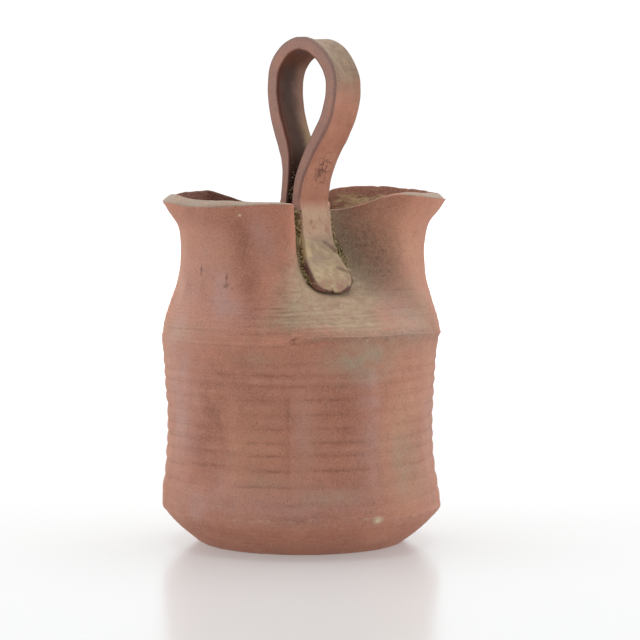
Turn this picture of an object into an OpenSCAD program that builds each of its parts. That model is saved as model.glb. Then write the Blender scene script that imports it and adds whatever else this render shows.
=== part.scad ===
// Small wheel-thrown pot, pinched front and back into two spouted lobes, with a strap loop handle.
// The frame: +Z up, the foot rests on z = 0, the lobes lie along X and the front pinch faces -Y.

/* [Body] */
// Height of the ledge where the belly ends and the neck begins, mm
shoulder_height = 75.6; // [70:0.1:82]
// Greatest outer radius of the belly, at the ledge, mm
shoulder_radius = 50.1; // [48.5:0.1:52]
// Radius of the flat foot that the pot stands on, mm
foot_radius = 35.3; // [30:0.1:36]
// Thickness of the floor, mm
floor_thickness = 5; // [3:0.1:8]
// Thickness of the belly wall, mm
belly_wall = 3.6; // [3.2:0.1:4.4]
// Thickness of the lobed wall at the lip, mm
lip_wall = 3.2; // [2.2:0.1:3.8]
// Height from one throwing ridge to the next, mm
ridge_pitch = 5.04; // [4:0.02:8]
// How far each throwing ridge stands out from its groove, mm
ridge_depth = 0.35; // [0.1:0.05:0.6]

/* [Mouth] */
// Half the thickness of the two walls pressed together at the lip, mm
pinch_half = 2.6; // [2.4:0.1:4]
// Half the slot left between the two walls at the pinch, mm
slot_half = 0.8; // [0.5:0.1:1]
// How far the mouth leans towards +X over the height of the neck, mm
neck_lean = 2.1; // [0.6:0.1:2.4]
// How far the inner edge of the lip stands above the outer one at the lobes, mm
lip_rise = 1.9; // [0.5:0.1:2.6]

/* [Handle] */
// Width of the strap, mm
strap_width = 13; // [10:0.1:14]
// Thickness of the strap, mm
strap_thickness = 5; // [4:0.1:5.6]
// How much thicker the back leg of the loop is than the front one, mm
back_thicker = 0.7; // [0:0.1:1]
// Width of the thumbed tongue at each end of the strap, mm
tongue_width = 16.6; // [12.5:0.1:17]
// Thickness of the tongue near its end, mm
tongue_thickness = 3.6; // [3:0.1:4.6]
// Height of the top of the loop above the table, mm
loop_top = 180.2; // [174:0.1:186]
// Turn of the loop about the vertical, degrees
loop_twist = 11; // [0:0.5:16]
// How far the loop leans to one side, mm
loop_lean = 4.1; // [0:0.1:5]
// Radius of the rolls of slip worked in beside each tongue, mm
slip_radius = 1.5; // [1:0.1:1.8]

/* [Hidden] */

clay = [0.62, 0.43, 0.35];
clay_light = [0.68, 0.49, 0.41];
ash = [0.66, 0.6, 0.48];

columns = 128;          // columns of facets round the neck
collar = 4;             // how far the neck reaches down inside the belly wall
collar_inset = 0.55;    // how far it stays inside each face of that wall
wall_gap = 0.6;         // clay slip between the tongue and the wall, at the middle
rim_low = 118.8;        // height of the lip at the pinch
valley_power = 4;       // how flat the bottom of each pinched valley is

neck_radius = shoulder_radius - collar_inset;
neck_inner = shoulder_radius - belly_wall + collar_inset;

// Neck stations: share of the neck height, half length along X, half depth of the lobes,
// half depth at the pinch, the same inside, and the half width of the valley as a cosine
NECK = [
    [0.00, neck_radius, neck_radius, neck_radius, neck_inner, 0.50],
    [0.12, 49.2, 47.6, 40.7, 35.6, 0.48],
    [0.25, 47.8, 44.3, 31.0, 26.0, 0.46],
    [0.37, 46.9, 40.0, 22.4, 18.0, 0.43],
    [0.50, 46.8, 36.0, 14.6, 11.0, 0.40],
    [0.65, 47.3, 32.9, 9.0, 6.3, 0.37],
    [0.80, 49.1, 31.6, 5.4, 3.2, 0.35],
    [0.92, 53.9, 32.6, 3.7, 1.6, 0.34],
    [1.00, 56.2, 34.0, pinch_half, slot_half, 0.34]
];

// Height of the outer edge of the lip round the mouth, by angle from +X towards the front
RIM = [
    [0, 122.8], [15, 122.7], [30, 122.9], [50, 123.7], [60, 124.4], [69, 124.3],
    [76, 120.0], [82, 118.9], [90, 118.7], [98, 120.3], [106, 121.3], [120, 122.2],
    [140, 121.6], [160, 121.2], [180, 122.4], [195, 122.7], [210, 122.8], [225, 123.9],
    [238, 124.3], [247, 124.1], [254, 121.0], [260, 118.3], [270, 117.2], [283, 119.6],
    [300, 124.3], [315, 125.4], [330, 124.7], [345, 123.8], [360, 122.8]
];

// How strongly the lip is tilted outwards round the mouth, by the same angle
LIP = [
    [0, 1.2], [30, 1.1], [60, 0.6], [90, 0.1], [106, 0.0], [121, 0.16], [133, 0.55], [146, 1.1],
    [162, 1.25], [190, 1.4], [210, 1.0], [240, 0.8], [300, 0.8], [330, 1.0], [360, 1.2]
];

// Loop stations: distance of the front leg and of the back leg from the middle, and the share
// of the way from the lip to the top
LOOP = [
    [4.1, 4.1, 0.045], [3.95, 3.95, 0.10], [4.0, 4.1, 0.17], [4.7, 4.8, 0.247],
    [5.8, 6.2, 0.318], [7.4, 8.5, 0.393], [9.95, 11.2, 0.479], [12.95, 13.7, 0.59],
    [14.8, 14.9, 0.706], [14.2, 14.5, 0.809], [10.7, 12.1, 0.902], [5.2, 6.4, 0.977]
];
loop_apex = -0.5;       // distance of the very top from the middle, towards the front
loop_tilt = 0.06;       // drop of the loop towards +X, for each mm across the strap

// Smooth reading of one column of a table of stations
function station(x, table, i = 0) =
    i >= len(table) - 2 || x < table[i + 1][0] ? i : station(x, table, i + 1);
function slope(table, i, c) =
    let(a = max(i - 1, 0), b = min(i + 1, len(table) - 1))
    (table[b][c] - table[a][c]) / (table[b][0] - table[a][0]);
function read(x, table, c = 1) =
    let(
        i = station(x, table),
        h = table[i + 1][0] - table[i][0],
        u = (x - table[i][0]) / h,
        p = table[i][c],
        q = table[i + 1][c],
        m = slope(table, i, c) * h,
        n = slope(table, i + 1, c) * h
    )
    p + u * (m + u * (3 * (q - p) - 2 * m - n + u * (2 * (p - q) + m + n)));

// Outer face of the lobed section by angle and share of the neck height, and its outward normal
function lobe(t, s) = 1 - exp(-pow(abs(cos(t)) / read(s, NECK, 5), valley_power));
function section(t, s) =
    let(g = read(s, NECK, 3), h = read(s, NECK, 2))
    [read(s, NECK, 1) * cos(t), -sin(t) * (g + (h - g) * lobe(t, s))];
function section_normal(t, s) =
    let(d = section(t + 1, s) - section(t - 1, s))
    [-d[1], d[0]] / norm(d);
// Wall thickness: full round the lobes, thinned where the pinch presses the two walls together
function wall_at(t, s) =
    let(full = (neck_radius - neck_inner) * (1 - s) + lip_wall * s, k = lobe(t, s))
    full * k + (read(s, NECK, 3) - read(s, NECK, 4)) * (1 - k);
function rim_at(t) = read(t, RIM);
function lean(z) = neck_lean * pow(max(0, z - shoulder_height) / (rim_low - shoulder_height), 1.5);
function neck_point(t, s, inside) =
    let(
        f = max(s, 0),
        p = section(t, f) - (inside ? wall_at(t, f) : 0) * section_normal(t, f),
        top = rim_at(t) + (inside ? lip_rise * read(t, LIP) * lobe(t, 1) : 0),
        z = s < 0 ? shoulder_height - collar : shoulder_height + s * (top - shoulder_height)
    )
    [p[0] + lean(z), p[1], z];

OUTER_ROWS = [-1, 0, 0.04, 0.08, 0.12, 0.18, 0.24, 0.3, 0.36, 0.42, 0.48, 0.54, 0.6, 0.66,
              0.72, 0.78, 0.83, 0.88, 0.92, 0.96, 1];
INNER_ROWS = [1, 0.94, 0.88, 0.8, 0.7, 0.6, 0.5, 0.4, 0.3, 0.2, 0.12, 0.06, 0, -1];

// Side faces and flat caps of a stack of equal rings
function ring_faces(rings, count) = [
    for (r = [0:rings - 2], k = [0:count - 1])
        let(a = r * count + k, b = r * count + (k + 1) % count)
        each [[a, a + count, b + count], [a, b + count, b]]
];
function closing_faces(rings, count) = [
    for (k = [0:count - 1])
        let(a = (rings - 1) * count + k, b = (rings - 1) * count + (k + 1) % count)
        each [[a, k, (k + 1) % count], [a, (k + 1) % count, b]]
];

// Belly: base radius by height, then the throwing ridges on top of it
BELLY = [
    [14.8, 50.0], [20, 49.2], [24.5, 48.6], [35, 47.7], [44, 47.5], [57, 47.9],
    [67.7, 48.5], [71, 49.0], [73.4, 49.6], [shoulder_height, shoulder_radius]
];
ridge_steps = 5;
ridge_bottom = 17.5;
ridge_count = floor((shoulder_height - 4 - ridge_bottom) / ridge_pitch);
function belly_radius(z) = read(z, BELLY);

module belly_profile() {
    inner = shoulder_radius - belly_wall;
    polygon(concat(
        [
            [0, 0],
            [foot_radius, 0],
            [foot_radius + 1.8, 0.6],
            [foot_radius + 3.7, 1.9],
            [43.4, 5.4],
            [47.2, 9.2],
            [49.3, 11.8],
            [50.0, 13.2],
            [50.1, 14.8],
            [49.9, 16.4]
        ],
        [
            for (k = [0:ridge_count * ridge_steps])
                let(z = ridge_bottom + k * ridge_pitch / ridge_steps)
                [belly_radius(z) + ridge_depth * abs(sin(180 * k / ridge_steps)), z]
        ],
        [
            [shoulder_radius - 1.1, shoulder_height - 4],
            [shoulder_radius - 0.75, shoulder_height - 2.4],
            [shoulder_radius - 0.35, shoulder_height - 1],
            [shoulder_radius, shoulder_height - 0.3],
            [shoulder_radius, shoulder_height],
            [inner, shoulder_height],
            [inner - 1.6, 66],
            [inner - 2.2, 44],
            [inner - 1.4, 24],
            [inner - 2.6, 15],
            [inner - 6, floor_thickness + 4],
            [inner - 11, floor_thickness + 1],
            [inner - 17, floor_thickness],
            [0, floor_thickness]
        ]
    ));
}

module pinched_neck() {
    rows = concat(
        [for (s = OUTER_ROWS) [s, false]],
        [for (s = INNER_ROWS) [s, true]]
    );
    points = [
        for (r = rows, k = [0:columns - 1])
            neck_point(360 * (1 - k / columns), r[0], r[1])
    ];
    polyhedron(
        points,
        concat(ring_faces(len(rows), columns), closing_faces(len(rows), columns)),
        convexity = 8
    );
}

// Wheel-thrown body: belly, pinched neck and lobed mouth in one piece of clay
module body() {
    color(clay) union() {
        rotate_extrude($fn = 96) belly_profile();
        pinched_neck();
    }
}

// The valley of the pinch: height and outward distance of the wall, and of a line off it
function valley_z(s) = shoulder_height + s * (rim_low - shoulder_height);
function valley(s) = [read(s, NECK, 3), valley_z(s)];
function valley_normal(s) =
    let(d = valley(s + 0.02) - valley(s - 0.02), n = norm(d))
    [d[1] / n, -d[0] / n];
TONGUE_S = [0.325, 0.38, 0.45, 0.54, 0.64, 0.74, 0.83, 0.91];
tongue_line = [
    for (s = TONGUE_S)
        valley(s) + (strap_thickness / 2 + wall_gap) * valley_normal(s)
];
loop_rise = loop_top - strap_thickness / 2 - rim_low;
function leg_line(c) = concat(
    tongue_line,
    [for (p = LOOP) [p[c], rim_low + p[2] * loop_rise]]
);
back_line = leg_line(1);
// Whole centreline, from the front tongue over the loop to the back tongue
strap_line = concat(
    leg_line(0),
    [[loop_apex, rim_low + loop_rise]],
    [for (i = [len(back_line) - 1:-1:0]) [-back_line[i][0], back_line[i][1]]]
);
line_steps = 3;
function spline(line, i, u) =
    let(
        n = len(line) - 1,
        a = line[max(i - 1, 0)],
        b = line[i],
        c = line[min(i + 1, n)],
        d = line[min(i + 2, n)]
    )
    (2 * b + (c - a) * u + (2 * a - 5 * b + 4 * c - d) * u * u
        + (3 * b - 3 * c + d - a) * u * u * u) / 2;
strap_points = [
    for (i = [0:len(strap_line) - 2], k = [0:line_steps - 1])
        spline(strap_line, i, k / line_steps),
    strap_line[len(strap_line) - 1]
];
strap_last = len(strap_points) - 1;
strap_run = [
    for (i = 0, run = 0; i <= strap_last;
        run = run + (i < strap_last ? norm(strap_points[i + 1] - strap_points[i]) : 0),
        i = i + 1)
        run
];
strap_length = strap_run[strap_last];

function ease(u) = let(v = min(max(u, 0), 1)) v * v * (3 - 2 * v);
function strap_lean(z) =
    strap_share * neck_lean * (min(z, rim_low) - shoulder_height) / (rim_low - shoulder_height);
function loop_share(z) = ease((z - rim_low) / 34);
// Half round end of the tongue, as a share of its width
tongue_round = 6;
tongue_shift = 2.6;     // how far the end of each tongue strays towards -X
strap_share = 0.52;     // how much of the lean of the mouth the strap follows
nose = 7;               // length over which the end of the tongue thins to its edge
function end_share(d) = pow(max(0.05, 1 - pow(1 - min(d / tongue_round, 1), 3)), 0.42);
function strap_w(d) =
    (strap_width + (tongue_width - strap_width) * (1 - ease((d - 8) / 14))) * end_share(d);
function strap_t(d) =
    (strap_thickness + (tongue_thickness - strap_thickness) * (1 - ease(d / 16)))
    * (0.28 + 0.72 * sin(90 * min(d / nose, 1)));
// How far the thinner end of the tongue is pressed in towards the wall
function seat(d) = 0.4 * (strap_thickness - strap_t(d));
function back_extra(run) =
    back_thicker * ease((run / strap_length - 0.52) / 0.1) * ease((strap_length - run - 45) / 15);

// Rounded oblong section of the strap: share across the width, share across the thickness
STRAP_SHAPE = [
    [-0.78, -1], [0.78, -1], [0.94, -0.82], [1, -0.4], [1, 0.4], [0.94, 0.82],
    [0.78, 1], [-0.78, 1], [-0.94, 0.82], [-1, 0.4], [-1, -0.4], [-0.94, -0.82]
];
function strap_ring(i) =
    let(
        p = strap_points[i],
        along = strap_points[min(i + 1, strap_last)] - strap_points[max(i - 1, 0)],
        n = [along[1], -along[0]] / norm(along),
        d = min(strap_run[i], strap_length - strap_run[i]),
        w = strap_w(d) / 2,
        t = (strap_t(d) + back_extra(strap_run[i])) / 2,
        turn = loop_twist * loop_share(p[1]),
        shift = strap_lean(p[1]) + 0.75 * loop_lean * loop_share(p[1])
            - tongue_shift * (1 - ease((d - 6) / 34))
    )
    [
        for (q = STRAP_SHAPE)
            let(
                x = -q[0] * w,
                off = q[1] * t - seat(d),
                y = -(p[0] + n[0] * off),
                z = p[1] + n[1] * off - loop_tilt * x * loop_share(p[1])
            )
            [
                x * cos(turn) - y * sin(turn) + shift,
                x * sin(turn) + y * cos(turn) - 0.45 * loop_lean * loop_share(p[1]),
                z
            ]
    ];

// Strap handle: both tongues, both legs and the loop in one pulled strap
module strap_handle() {
    count = len(STRAP_SHAPE);
    color(clay_light) polyhedron(
        [for (i = [0:strap_last]) each strap_ring(i)],
        concat(
            ring_faces(strap_last + 1, count),
            [[for (k = [0:count - 1]) k]],
            [[for (k = [count - 1:-1:0]) strap_last * count + k]]
        ),
        convexity = 8
    );
}

// Outer face of the neck at a distance along X, and a line of slip lying against it
function wall_y(x, s) =
    let(c = min(abs(x) / read(s, NECK, 1), 1), g = read(s, NECK, 3))
    sin(acos(c)) * (g + (read(s, NECK, 2) - g)
        * (1 - exp(-pow(c / read(s, NECK, 5), valley_power))));
function wall_point(x, s) = [x, wall_y(x, s), valley_z(s)];
function wall_normal(x, s) =
    let(
        a = wall_point(x + 0.3, s) - wall_point(x - 0.3, s),
        b = wall_point(x, s + 0.01) - wall_point(x, s - 0.01),
        n = cross(b, a)
    )
    n / norm(n);

// Slip line: round one side of the tongue, under its end and up the other side
slip_low = 0.265;
slip_high = 0.93;
slip_turn = 0.35;
slip_steps = 14;
slip_reach = tongue_width / 2 + slip_radius + 0.1;
slip_line = concat(
    [
        for (k = [0:slip_steps])
            [-slip_reach, slip_high + (slip_turn - slip_high) * k / slip_steps]
    ],
    [
        for (a = [20:20:160])
            [
                -slip_reach * sign(cos(a)) * pow(abs(cos(a)), 0.7),
                slip_turn - (slip_turn - slip_low) * pow(sin(a), 0.7)
            ]
    ],
    [
        for (k = [0:slip_steps])
            [slip_reach, slip_turn + (slip_high - slip_turn) * k / slip_steps]
    ]
);
function slip_centre(i) =
    let(
        q = slip_line[min(max(i, 0), len(slip_line) - 1)],
        x = q[0] + strap_lean(valley_z(q[1])) - lean(valley_z(q[1]))
    )
    wall_point(x, q[1]) + (slip_radius + 0.05) * wall_normal(x, q[1]);
slip_sides = 10;

// Roll of clay slip worked in round a tongue, on the -Y side
module slip_roll() {
    n = len(slip_line);
    rings = [
        for (i = [0:n - 1])
            let(
                q = slip_line[i],
                along = slip_centre(i + 1) - slip_centre(i - 1),
                t = along / norm(along),
                u = wall_normal(q[0], q[1]),
                side = cross(t, u) / norm(cross(t, u)),
                up = cross(side, t),
                r = slip_radius * (i == 0 || i == n - 1 ? 0.4 : 1),
                c = slip_centre(i)
            )
            [
                for (k = [0:slip_sides - 1])
                    let(a = 360 * k / slip_sides, p = c + r * (cos(a) * side + sin(a) * up))
                    [
                        p[0] + lean(p[2]) - tongue_shift * (1 - ease((q[1] - 0.3) / 0.9)),
                        -p[1],
                        p[2]
                    ]
            ]
    ];
    polyhedron(
        [for (r = rings) each r],
        concat(
            ring_faces(n, slip_sides),
            [[for (k = [0:slip_sides - 1]) k]],
            [[for (k = [slip_sides - 1:-1:0]) (n - 1) * slip_sides + k]]
        ),
        convexity = 6
    );
}

// Slip joint that lutes the front tongue to the neck
module front_slip() {
    color(ash) slip_roll();
}

// Slip joint that lutes the back tongue to the neck
module back_slip() {
    color(ash) mirror([0, 1, 0]) slip_roll();
}

body();
strap_handle();
front_slip();
back_slip();
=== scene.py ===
"""Small thrown clay pot with a pinched two-lobed mouth and a strap loop handle.

Lengths in the shape functions are millimetres; everything is scaled to metres when a mesh is made.
Angle t runs round the pot from +X towards the front (-Y)."""

import bpy
import numpy as np
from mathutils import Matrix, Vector


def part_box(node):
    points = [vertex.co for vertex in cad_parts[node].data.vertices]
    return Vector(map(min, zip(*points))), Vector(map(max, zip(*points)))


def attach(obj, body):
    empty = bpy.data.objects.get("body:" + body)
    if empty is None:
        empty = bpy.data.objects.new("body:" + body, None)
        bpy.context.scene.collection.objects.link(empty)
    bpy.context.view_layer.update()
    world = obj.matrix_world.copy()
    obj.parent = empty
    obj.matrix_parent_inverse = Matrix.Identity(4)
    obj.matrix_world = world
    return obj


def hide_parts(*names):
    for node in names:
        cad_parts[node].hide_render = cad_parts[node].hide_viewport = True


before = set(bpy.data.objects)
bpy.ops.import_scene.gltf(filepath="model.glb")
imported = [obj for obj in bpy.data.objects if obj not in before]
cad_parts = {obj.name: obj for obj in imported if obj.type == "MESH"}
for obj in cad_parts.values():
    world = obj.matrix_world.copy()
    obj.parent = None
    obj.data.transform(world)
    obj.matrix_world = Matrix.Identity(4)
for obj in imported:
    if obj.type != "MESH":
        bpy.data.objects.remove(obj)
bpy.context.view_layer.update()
MM = 0.001

# ---------------------------------------------------------------- shape tables
SHOULDER_Z = 75.6
SHOULDER_R = 50.1
BELLY_WALL = 3.6
LIP_WALL = 3.2
RIM_LOW = 118.8
LEAN = 2.1
LIP_RISE = 1.9
NECK_R = SHOULDER_R - 0.3
NECK_IN = SHOULDER_R - BELLY_WALL + 0.2
# share of neck height, half length along X, half depth of the lobes, half depth at the pinch,
# the same inside, half width of the valley as a cosine
NECK = np.array([
    [0.00, NECK_R, NECK_R, NECK_R, NECK_IN, 0.50],
    [0.06, 49.6, 48.8, 46.0, 41.6, 0.49],
    [0.12, 49.2, 47.6, 40.7, 35.6, 0.48],
    [0.25, 47.8, 44.3, 31.0, 26.0, 0.46],
    [0.37, 46.9, 40.0, 22.4, 18.0, 0.43],
    [0.50, 46.8, 36.0, 14.6, 11.0, 0.40],
    [0.65, 47.3, 32.9, 9.0, 6.3, 0.37],
    [0.80, 49.1, 31.6, 5.4, 3.2, 0.35],
    [0.92, 53.9, 32.6, 3.7, 1.6, 0.34],
    [1.00, 56.2, 34.0, 2.6, 0.8, 0.34],
])
RIM = np.array([
    [0, 122.8], [15, 122.7], [30, 122.9], [50, 123.7], [60, 124.4], [69, 124.3],
    [76, 120.0], [82, 118.9], [90, 118.7], [98, 120.3], [106, 121.3], [120, 122.2],
    [140, 121.6], [160, 121.2], [180, 122.4], [195, 122.7], [210, 122.8], [225, 123.9],
    [238, 124.3], [247, 124.1], [254, 121.0], [260, 118.3], [270, 117.2], [283, 119.6],
    [300, 124.3], [315, 125.4], [330, 124.7], [345, 123.8], [360, 122.8],
])
# how strongly the lip is tilted outwards round the mouth
LIP = np.array([
    [0, 1.2], [30, 1.1], [60, 0.6], [90, 0.1], [106, 0.0], [121, 0.16], [133, 0.55], [146, 1.1],
    [162, 1.25], [190, 1.4], [210, 1.0], [240, 0.8], [300, 0.8], [330, 1.0], [360, 1.2],
])
BELLY = np.array([
    [14.8, 50.05], [16.4, 49.8], [20, 49.35], [24.5, 48.75], [35, 47.85], [44, 47.65],
    [57, 48.05], [67.7, 48.75], [71, 49.2], [73.4, 49.65], [75.0, 50.02], [SHOULDER_Z, 50.05],
])
# heights of the grooves between the throwing ridges, at the front
GROOVES = np.array([13.2, 18.6, 25.0, 30.8, 36.0, 40.5, 45.1, 50.3, 55.4, 60.1, 63.9, 68.2, 72.4, 77.0])
FRONT = 122.0  # angle t that faces the camera
MEAN_R = 48.0  # rough radius of the belly, for noise and for marks on it


def read(x, table, c=1):
    """Smooth reading of one column of a table of stations."""
    x = np.asarray(x, float)
    xs, ys = table[:, 0], table[:, c]
    n = len(xs)
    i = np.clip(np.searchsorted(xs, x, side="right") - 1, 0, n - 2)
    lo = np.maximum(np.arange(n) - 1, 0)
    hi = np.minimum(np.arange(n) + 1, n - 1)
    m = (ys[hi] - ys[lo]) / (xs[hi] - xs[lo])
    h = xs[i + 1] - xs[i]
    u = (x - xs[i]) / h
    p, q, a, b = ys[i], ys[i + 1], m[i] * h, m[i + 1] * h
    return p + u * (a + u * (3 * (q - p) - 2 * a - b + u * (2 * (p - q) + a + b)))


def ease(u):
    v = np.clip(u, 0, 1)
    return v * v * (3 - 2 * v)


def bump(x, centre, width):
    return np.exp(-(((x - centre) / width) ** 2))


def window(x, low, high, soft):
    """1 from low to high with soft ends, 0 outside."""
    return ease((x - low) / soft + 0.5) * (1 - ease((x - high) / soft + 0.5))


def wrap(angle):
    """The same angle in -180..180."""
    return (angle + 180) % 360 - 180


def waves(p, size, seed, count=14):
    """Soft noise of about unit height, made of plane waves in space; size is its wavelength in mm."""
    r = np.random.default_rng(seed)
    k = r.normal(size=(count, 3))
    k /= np.linalg.norm(k, axis=1)[:, None]
    k *= (2 * np.pi / size * r.uniform(0.6, 1.5, count))[:, None]
    ph = r.uniform(0, 2 * np.pi, count)
    out = np.zeros(p.shape[:-1])
    for i in range(count):
        out += np.sin(p @ k[i] + ph[i])
    return out * np.sqrt(2.0 / count)


def psi_of(t):
    """Angle from the camera side, positive to the right, in -180..180."""
    return wrap(FRONT - t)


# ---------------------------------------------------------------- the neck
def lobe(t, s):
    return 1 - np.exp(-((np.abs(np.cos(np.radians(t))) / read(s, NECK, 5)) ** 4))


def section(t, s):
    g, h = read(s, NECK, 3), read(s, NECK, 2)
    tr = np.radians(t)
    return np.stack([read(s, NECK, 1) * np.cos(tr), -np.sin(tr) * (g + (h - g) * lobe(t, s))], -1)


def section_normal(t, s):
    d = section(t + 0.5, s) - section(t - 0.5, s)
    return np.stack([-d[..., 1], d[..., 0]], -1) / np.linalg.norm(d, axis=-1)[..., None]


def wall_at(t, s):
    full = (NECK_R - NECK_IN) * (1 - s) + LIP_WALL * s
    k = lobe(t, s)
    return full * k + (read(s, NECK, 3) - read(s, NECK, 4)) * (1 - k)


def lean(z):
    return LEAN * (np.maximum(0, z - SHOULDER_Z) / (RIM_LOW - SHOULDER_Z)) ** 1.5


def neck_points(t, s, inside):
    p = section(t, s)
    top = read(t, RIM)
    if inside:
        p = p - wall_at(t, s)[:, None] * section_normal(t, s)
        top = top + LIP_RISE * read(t, LIP) * lobe(t, np.ones_like(s))
    z = SHOULDER_Z + s * (top - SHOULDER_Z)
    return np.stack([p[:, 0] + lean(z), p[:, 1], z], -1)


LEDGE = np.array([
    [-180, -0.3], [-90, -0.8], [-40, -0.7], [-22, -0.6], [-7.5, -0.4], [-4, 0.5], [6, 1.4],
    [30, 1.2], [46, 1.3], [80, 0.2], [130, 0.0], [180, -0.3],
])


def ledge_shift(t, z):
    return read(psi_of(t), LEDGE) * np.exp(-(((z - SHOULDER_Z) / 5.0) ** 2))


# lines left by the fingertips: height, from psi, to psi, depth
LINES = [
    (67.6, -30, 10, 0.10), (63.9, -22, 20, 0.16), (60.2, -25, 20, 0.24), (55.2, -25, -10, 0.26),
    (55.2, 0, 21, 0.34), (50.1, -21, -6, 0.32), (50.1, 4, 25, 0.32), (45.2, -21, -6, 0.26),
    (45.2, 4, 22, 0.34), (40.4, -23, -7, 0.28), (40.4, 4, 26, 0.38), (36.0, -20, -7, 0.50),
    (36.0, 4, 27, 0.40), (30.8, -18, -7, 0.58), (30.8, 4, 28, 0.42), (25.4, -26, -4, 0.40),
    (25.2, 2, 14, 0.20), (31.2, -50, -33, 0.36), (36.2, -44, -36, 0.40), (19.4, -9, 7, 0.30),
    (52.0, -66, -54, 0.16), (47.0, -68, -52, 0.18), (40.4, 38, 52, 0.16), (31.0, 44, 62, 0.20),
]
# broad marks of the hands: psi, half width, stand-off, lowest height, highest height
FACETS = [
    (-72, 7, 0.20, 24, 62), (-56, 6.5, 0.28, 20, 64), (-38.5, 8.5, -0.85, 24, 62),
    (-27, 3, 0.20, 26, 58), (-15.5, 7, -0.62, 24, 58), (-5.3, 1.3, -0.40, 29, 57),
    (0.4, 3.4, 0.34, 26, 56), (14, 9.5, -0.66, 24, 60), (28.5, 4.2, 0.52, 24, 66),
    (44, 8, -0.42, 24, 58), (62, 7, 0.20, 22, 60), (96, 12, -0.60, 24, 60), (120, 5, 0.30, 24, 60),
    (138, 11, -0.70, 26, 58), (165, 6, 0.25, 24, 62), (-150, 13, -0.65, 24, 58),
    (-128, 5, 0.30, 22, 60), (-108, 11, -0.60, 26, 60), (-175, 7, -0.35, 30, 56),
]


def back_lines():
    """The same kind of fingertip lines on the sides that face away."""
    r = np.random.default_rng(7)
    out = []
    for lo, hi in ((74, 108), (112, 150), (152, 178), (-178, -140), (-136, -104), (-100, -76)):
        for z in GROOVES[2:12]:
            if r.uniform() < 0.75:
                a = lo + r.uniform(0, 8)
                out.append((z + r.uniform(-0.4, 0.4), a, hi - r.uniform(0, 8), r.uniform(0.15, 0.45)))
    return out


ALL_LINES = LINES + back_lines()


def finger_lines(psi, z):
    """Depth of the fingertip lines at a place on the belly."""
    wave = 0.22 * np.sin(np.radians(6 * psi + 20)) + 0.12 * np.sin(np.radians(17 * psi))
    out = np.zeros(np.broadcast(psi, z).shape)
    for height, low, high, depth in ALL_LINES:
        d = z - height - wave
        out += 0.5 * depth * np.exp(-((d / 0.58) ** 2)) * window(psi, low, high, 10)
    return out


# fine ribs left on the foot of the neck: height, from psi, to psi
RIBS = (
    (91.6, -10, 6), (90.0, -16, 10), (88.1, -8, 26), (86.5, -20, 34), (85.1, -12, 24), (83.5, -22, 44),
    (82.2, -6, 50), (80.8, -24, 46), (79.5, -10, 40), (78.3, -26, 52), (94.5, -34, -20), (88.8, -44, -30),
    (81.6, 52, 78), (84.4, 46, 70), (90.5, 44, 62), (79.0, -70, -34), (86.0, 120, 170), (81.0, 100, 175),
    (84.0, -160, -110), (79.5, -175, -120),
)


def ribs(psi, z):
    wave = 0.18 * np.sin(np.radians(7 * psi + 50)) + 0.012 * psi
    out = np.zeros(np.broadcast(psi, z).shape)
    for height, low, high in RIBS:
        out += np.exp(-(((z - height - wave) / 0.34) ** 2)) * window(psi, low, high, 12)
    return out


def belly_relief(t, z):
    """How far the thrown surface stands off its base radius: ridges, facets, dents and lines."""
    psi = psi_of(t)
    zz = z - 4.6 * psi / 360 + 0.35 * np.sin(np.radians(2 * psi + 40))
    phase = np.interp(zz, GROOVES, np.arange(len(GROOVES)))
    place = np.stack([np.cos(np.radians(t)) * MEAN_R, -np.sin(np.radians(t)) * MEAN_R, z * 1.0], -1)
    side = ease((np.abs(psi) - 46) / 26)  # the ridges are crisper away from the front
    strength = 0.23 + 0.15 * side + 0.05 * waves(place, 30, 5)
    strength *= ease((z - 13.5) / 4) * (1 - 0.6 * ease((z - 63) / 7))
    sharp = 0.3 + 0.7 * side
    hump = sharp * np.abs(np.sin(np.pi * phase)) ** 0.8 + (1 - sharp) * np.sin(np.pi * phase) ** 2
    out = np.clip(strength, 0.03, 0.5) * (hump - 0.6)
    for centre, wide, stand, low, high in FACETS:
        tall = ease((z - low) / 9 + 0.6) * (1 - ease((z - high) / 9 + 0.4))
        out += stand * bump(wrap(psi - centre), 0, wide) * tall
    out += 0.14 + 0.15 * waves(place, 24, 11) + 0.05 * waves(place, 8, 12)
    out -= 0.5 * np.sin(np.radians(psi))  # the belly sits a little to the left
    return out - finger_lines(psi, z)


# ---------------------------------------------------------------- mesh helpers
def add_object(name, data):
    ob = bpy.data.objects.new(name, data)
    bpy.context.scene.collection.objects.link(ob)
    return ob


def make_mesh(name, verts, faces, attributes=None, smooth=50):
    """A smooth-shaded object from millimetres, with its fields as point attributes."""
    mesh = bpy.data.meshes.new(name)
    mesh.from_pydata((np.asarray(verts) * MM).tolist(), [], faces)
    mesh.validate()
    for key, values in (attributes or {}).items():
        a = mesh.attributes.new(key, "FLOAT", "POINT")
        a.data.foreach_set("value", np.asarray(values, np.float32).ravel())
    mesh.shade_smooth()
    mesh.set_sharp_from_angle(angle=np.radians(smooth))
    return add_object(name, mesh)


def inside_cad(points, node):
    """Keep a visual mesh, in millimetres, inside the box of the part it stands for."""
    low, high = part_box(node)
    return np.clip(points, np.array(low) / MM, np.array(high) / MM)


def tube_faces(rings, count):
    """Faces of a closed tube of rings that run counter-clockwise seen from its end, with flat caps."""
    a = np.arange(rings - 1)[:, None] * count + np.arange(count)[None, :]
    b = np.arange(rings - 1)[:, None] * count + (np.arange(count)[None, :] + 1) % count
    sides = np.stack([a, b, b + count, a + count], -1).reshape(-1, 4).tolist()
    return sides + [list(range(count))[::-1], [(rings - 1) * count + k for k in range(count)]]


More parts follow.
